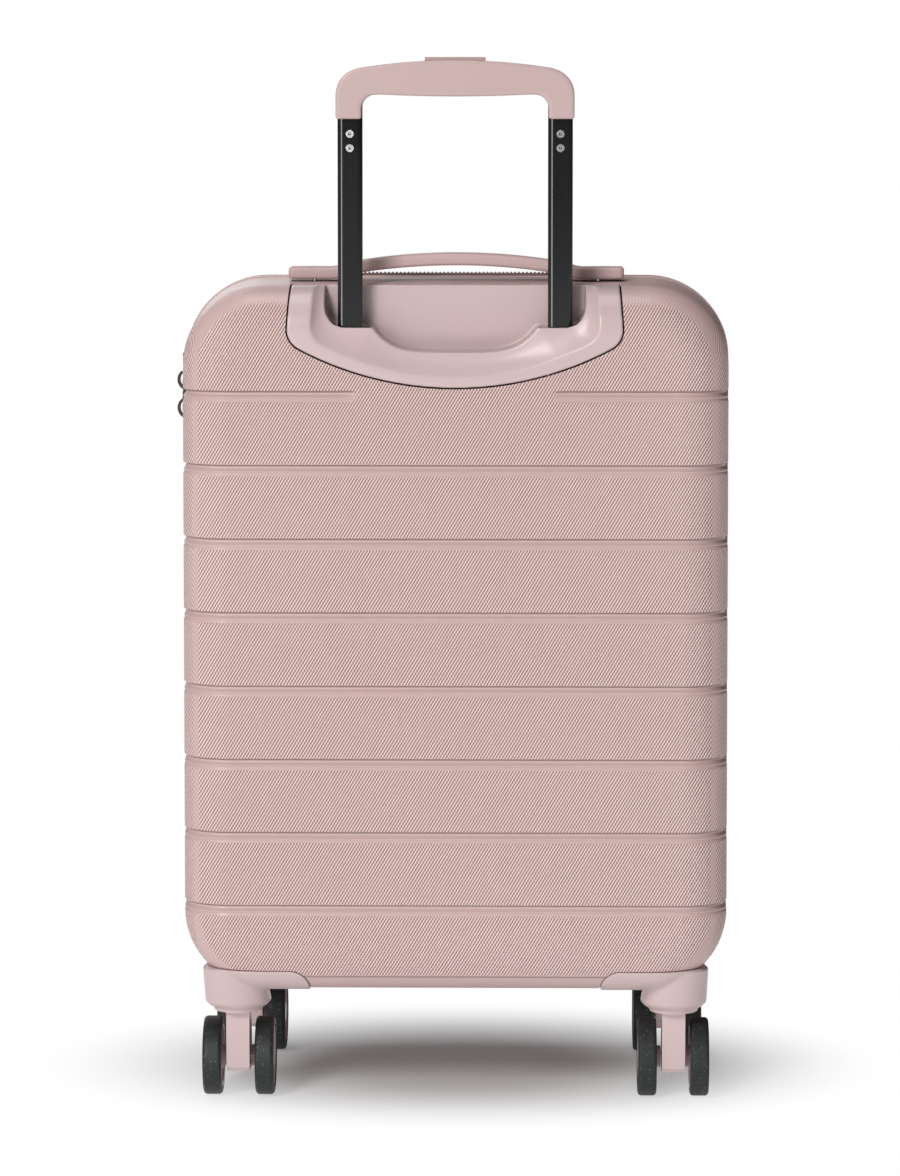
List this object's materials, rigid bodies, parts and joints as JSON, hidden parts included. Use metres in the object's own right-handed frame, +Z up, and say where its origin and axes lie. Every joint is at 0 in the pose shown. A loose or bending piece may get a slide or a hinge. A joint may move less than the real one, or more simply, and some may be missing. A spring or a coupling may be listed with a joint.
{
  "type": "hard shell suitcase on wheels",
  "caption": "Hard shell cabin suitcase that opens like a book, with a two-stage trolley handle, a soft carrying handle, a combination lock and twin-wheel swivel casters.",
  "frame": {"origin": "floor level under the middle of the case", "axes": "+X across the case, seen from the trolley side to the right; +Y from the trolley side towards the front face; +Z up"},
  "size_m": [0.3634, 0.23, 0.6763],
  "materials": {
    "shell": "fine diagonal twill texture, blush pink",
    "trim": "smooth satin, blush pink",
    "grip": "smooth satin, blush pink",
    "carry_band": "soft touch, blush pink",
    "zip": "woven tape with coil, dusky rose",
    "zip_metal": "black enamel",
    "tube": "gloss black anodised",
    "rod": "plain",
    "black_plastic": "moulded, black",
    "dial": "numbered dial, black",
    "lining": "woven polyester, dusky rose",
    "webbing": "woven webbing, black",
    "steel": "bright steel",
    "hub": "moulded cap, blush pink",
    "tyre": "smooth rubber with light flecks"
  },
  "bodies": {
    "back_half": {"back_shell": "shell", "back_zip_tape": "zip", "handle_cup": "trim", "outer_tubes": "tube", "tube_foot_blocks": "black_plastic", "housing_back_left": "trim", "housing_back_right": "trim", "back_lining": "lining", "packing_straps": "webbing", "lock_case": "black_plastic", "back_screws": "steel", "carry_band_ends": "carry_band"},
    "front_half": {"front_shell": "shell", "front_zip_tape": "zip", "housing_front_left": "trim", "housing_front_right": "trim", "front_lining": "lining", "front_screws": "steel", "divider_panel": "lining"},
    "handle_middle_stage": {"middle_tubes": "tube", "middle_guides": "black_plastic"},
    "handle_inner_stage": {"inner_tubes": "tube", "inner_guides": "black_plastic", "grip": "grip", "tube_rivets": "steel"},
    "handle_release": {"release_button": "grip", "push_rods": "rod"},
    "carry_band": {"carry_band_centre": "carry_band"},
    "slider_upper": {"zip_slider_upper": "zip_metal"},
    "slider_lower": {"zip_slider_lower": "zip_metal"},
    "pull_upper": {"zip_pull_upper": "zip_metal"},
    "pull_lower": {"zip_pull_lower": "zip_metal"},
    "dial_1": {"lock_dial_1": "dial"},
    "dial_2": {"lock_dial_2": "dial"},
    "dial_3": {"lock_dial_3": "dial"},
    "lock_release": {"lock_button": "black_plastic"},
    "caster_back_left": {"fork_back_left": "trim", "pins_back_left": "steel"},
    "wheel_back_left_outer": {"hub_back_left_outer": "hub", "tyre_back_left_outer": "tyre"},
    "wheel_back_left_inner": {"hub_back_left_inner": "hub", "tyre_back_left_inner": "tyre"},
    "caster_back_right": {"fork_back_right": "trim", "pins_back_right": "steel"},
    "wheel_back_right_outer": {"hub_back_right_outer": "hub", "tyre_back_right_outer": "tyre"},
    "wheel_back_right_inner": {"hub_back_right_inner": "hub", "tyre_back_right_inner": "tyre"},
    "caster_front_left": {"fork_front_left": "trim", "pins_front_left": "steel"},
    "wheel_front_left_outer": {"hub_front_left_outer": "hub", "tyre_front_left_outer": "tyre"},
    "wheel_front_left_inner": {"hub_front_left_inner": "hub", "tyre_front_left_inner": "tyre"},
    "caster_front_right": {"fork_front_right": "trim", "pins_front_right": "steel"},
    "wheel_front_right_outer": {"hub_front_right_outer": "hub", "tyre_front_right_outer": "tyre"},
    "wheel_front_right_inner": {"hub_front_right_inner": "hub", "tyre_front_right_inner": "tyre"}
  },
  "joints": [
    {"name": "case_opening", "type": "hinge", "parent": "back_half", "child": "front_half", "pos_m": [0.1795, 0, 0.303], "axis": [0, 0, -1], "range_deg": [0, 180]},
    {"name": "handle_first_pull", "type": "slide", "parent": "back_half", "child": "handle_middle_stage", "axis": [0, 0, 1], "range_m": [0, 0.2]},
    {"name": "handle_second_pull", "type": "slide", "parent": "handle_middle_stage", "child": "handle_inner_stage", "axis": [0, 0, 1], "range_m": [-0.1335, 0.12]},
    {"name": "handle_button_press", "type": "slide", "parent": "handle_inner_stage", "child": "handle_release", "axis": [0, 0, -1], "range_m": [0, 0.003], "stiffness_N_per_m": 800, "springref_m": -0.002},
    {"name": "carry_band_lift", "type": "slide", "parent": "back_half", "child": "carry_band", "axis": [0, 0, 1], "range_m": [0, 0.012]},
    {"name": "slider_upper_slide", "type": "slide", "parent": "back_half", "child": "slider_upper", "axis": [0, 0, 1], "range_m": [-0.001, 0.004]},
    {"name": "slider_lower_slide", "type": "slide", "parent": "back_half", "child": "slider_lower", "axis": [0, 0, 1], "range_m": [-0.305, 0.001]},
    {"name": "pull_upper_swing", "type": "hinge", "parent": "slider_upper", "child": "pull_upper", "pos_m": [-0.1775, 0, 0.4715], "axis": [0, 1, 0], "range_deg": [0, 110]},
    {"name": "pull_lower_swing", "type": "hinge", "parent": "slider_lower", "child": "pull_lower", "pos_m": [-0.1775, 0, 0.4395], "axis": [0, -1, 0], "range_deg": [0, 110]},
    {"name": "dial_1_turn", "type": "hinge", "parent": "back_half", "child": "dial_1", "pos_m": [-0.1727, -0.024, 0.448], "axis": [0, 0, 1], "continuous": true},
    {"name": "dial_2_turn", "type": "hinge", "parent": "back_half", "child": "dial_2", "pos_m": [-0.1727, -0.024, 0.456], "axis": [0, 0, 1], "continuous": true},
    {"name": "dial_3_turn", "type": "hinge", "parent": "back_half", "child": "dial_3", "pos_m": [-0.1727, -0.024, 0.464], "axis": [0, 0, 1], "continuous": true},
    {"name": "lock_button_press", "type": "slide", "parent": "back_half", "child": "lock_release", "axis": [1, 0, 0], "range_m": [0, 0.0012], "stiffness_N_per_m": 400, "springref_m": -0.001},
    {"name": "caster_back_left_swivel", "type": "hinge", "parent": "back_half", "child": "caster_back_left", "pos_m": [-0.1416, -0.073, 0.079], "axis": [0, 0, 1], "continuous": true},
    {"name": "wheel_back_left_outer_roll", "type": "hinge", "parent": "caster_back_left", "child": "wheel_back_left_outer", "pos_m": [-0.1586, -0.061, 0.0255], "axis": [1, 0, 0], "continuous": true},
    {"name": "wheel_back_left_inner_roll", "type": "hinge", "parent": "caster_back_left", "child": "wheel_back_left_inner", "pos_m": [-0.1246, -0.061, 0.0255], "axis": [1, 0, 0], "continuous": true},
    {"name": "caster_back_right_swivel", "type": "hinge", "parent": "back_half", "child": "caster_back_right", "pos_m": [0.1416, -0.073, 0.079], "axis": [0, 0, 1], "continuous": true},
    {"name": "wheel_back_right_outer_roll", "type": "hinge", "parent": "caster_back_right", "child": "wheel_back_right_outer", "pos_m": [0.1586, -0.061, 0.0255], "axis": [1, 0, 0], "continuous": true},
    {"name": "wheel_back_right_inner_roll", "type": "hinge", "parent": "caster_back_right", "child": "wheel_back_right_inner", "pos_m": [0.1246, -0.061, 0.0255], "axis": [1, 0, 0], "continuous": true},
    {"name": "caster_front_left_swivel", "type": "hinge", "parent": "front_half", "child": "caster_front_left", "pos_m": [-0.1416, 0.073, 0.079], "axis": [0, 0, 1], "continuous": true},
    {"name": "wheel_front_left_outer_roll", "type": "hinge", "parent": "caster_front_left", "child": "wheel_front_left_outer", "pos_m": [-0.1586, 0.085, 0.0255], "axis": [1, 0, 0], "continuous": true},
    {"name": "wheel_front_left_inner_roll", "type": "hinge", "parent": "caster_front_left", "child": "wheel_front_left_inner", "pos_m": [-0.1246, 0.085, 0.0255], "axis": [1, 0, 0], "continuous": true},
    {"name": "caster_front_right_swivel", "type": "hinge", "parent": "front_half", "child": "caster_front_right", "pos_m": [0.1416, 0.073, 0.079], "axis": [0, 0, 1], "continuous": true},
    {"name": "wheel_front_right_outer_roll", "type": "hinge", "parent": "caster_front_right", "child": "wheel_front_right_outer", "pos_m": [0.1586, 0.085, 0.0255], "axis": [1, 0, 0], "continuous": true},
    {"name": "wheel_front_right_inner_roll", "type": "hinge", "parent": "caster_front_right", "child": "wheel_front_right_inner", "pos_m": [0.1246, 0.085, 0.0255], "axis": [1, 0, 0], "continuous": true}
  ]
}
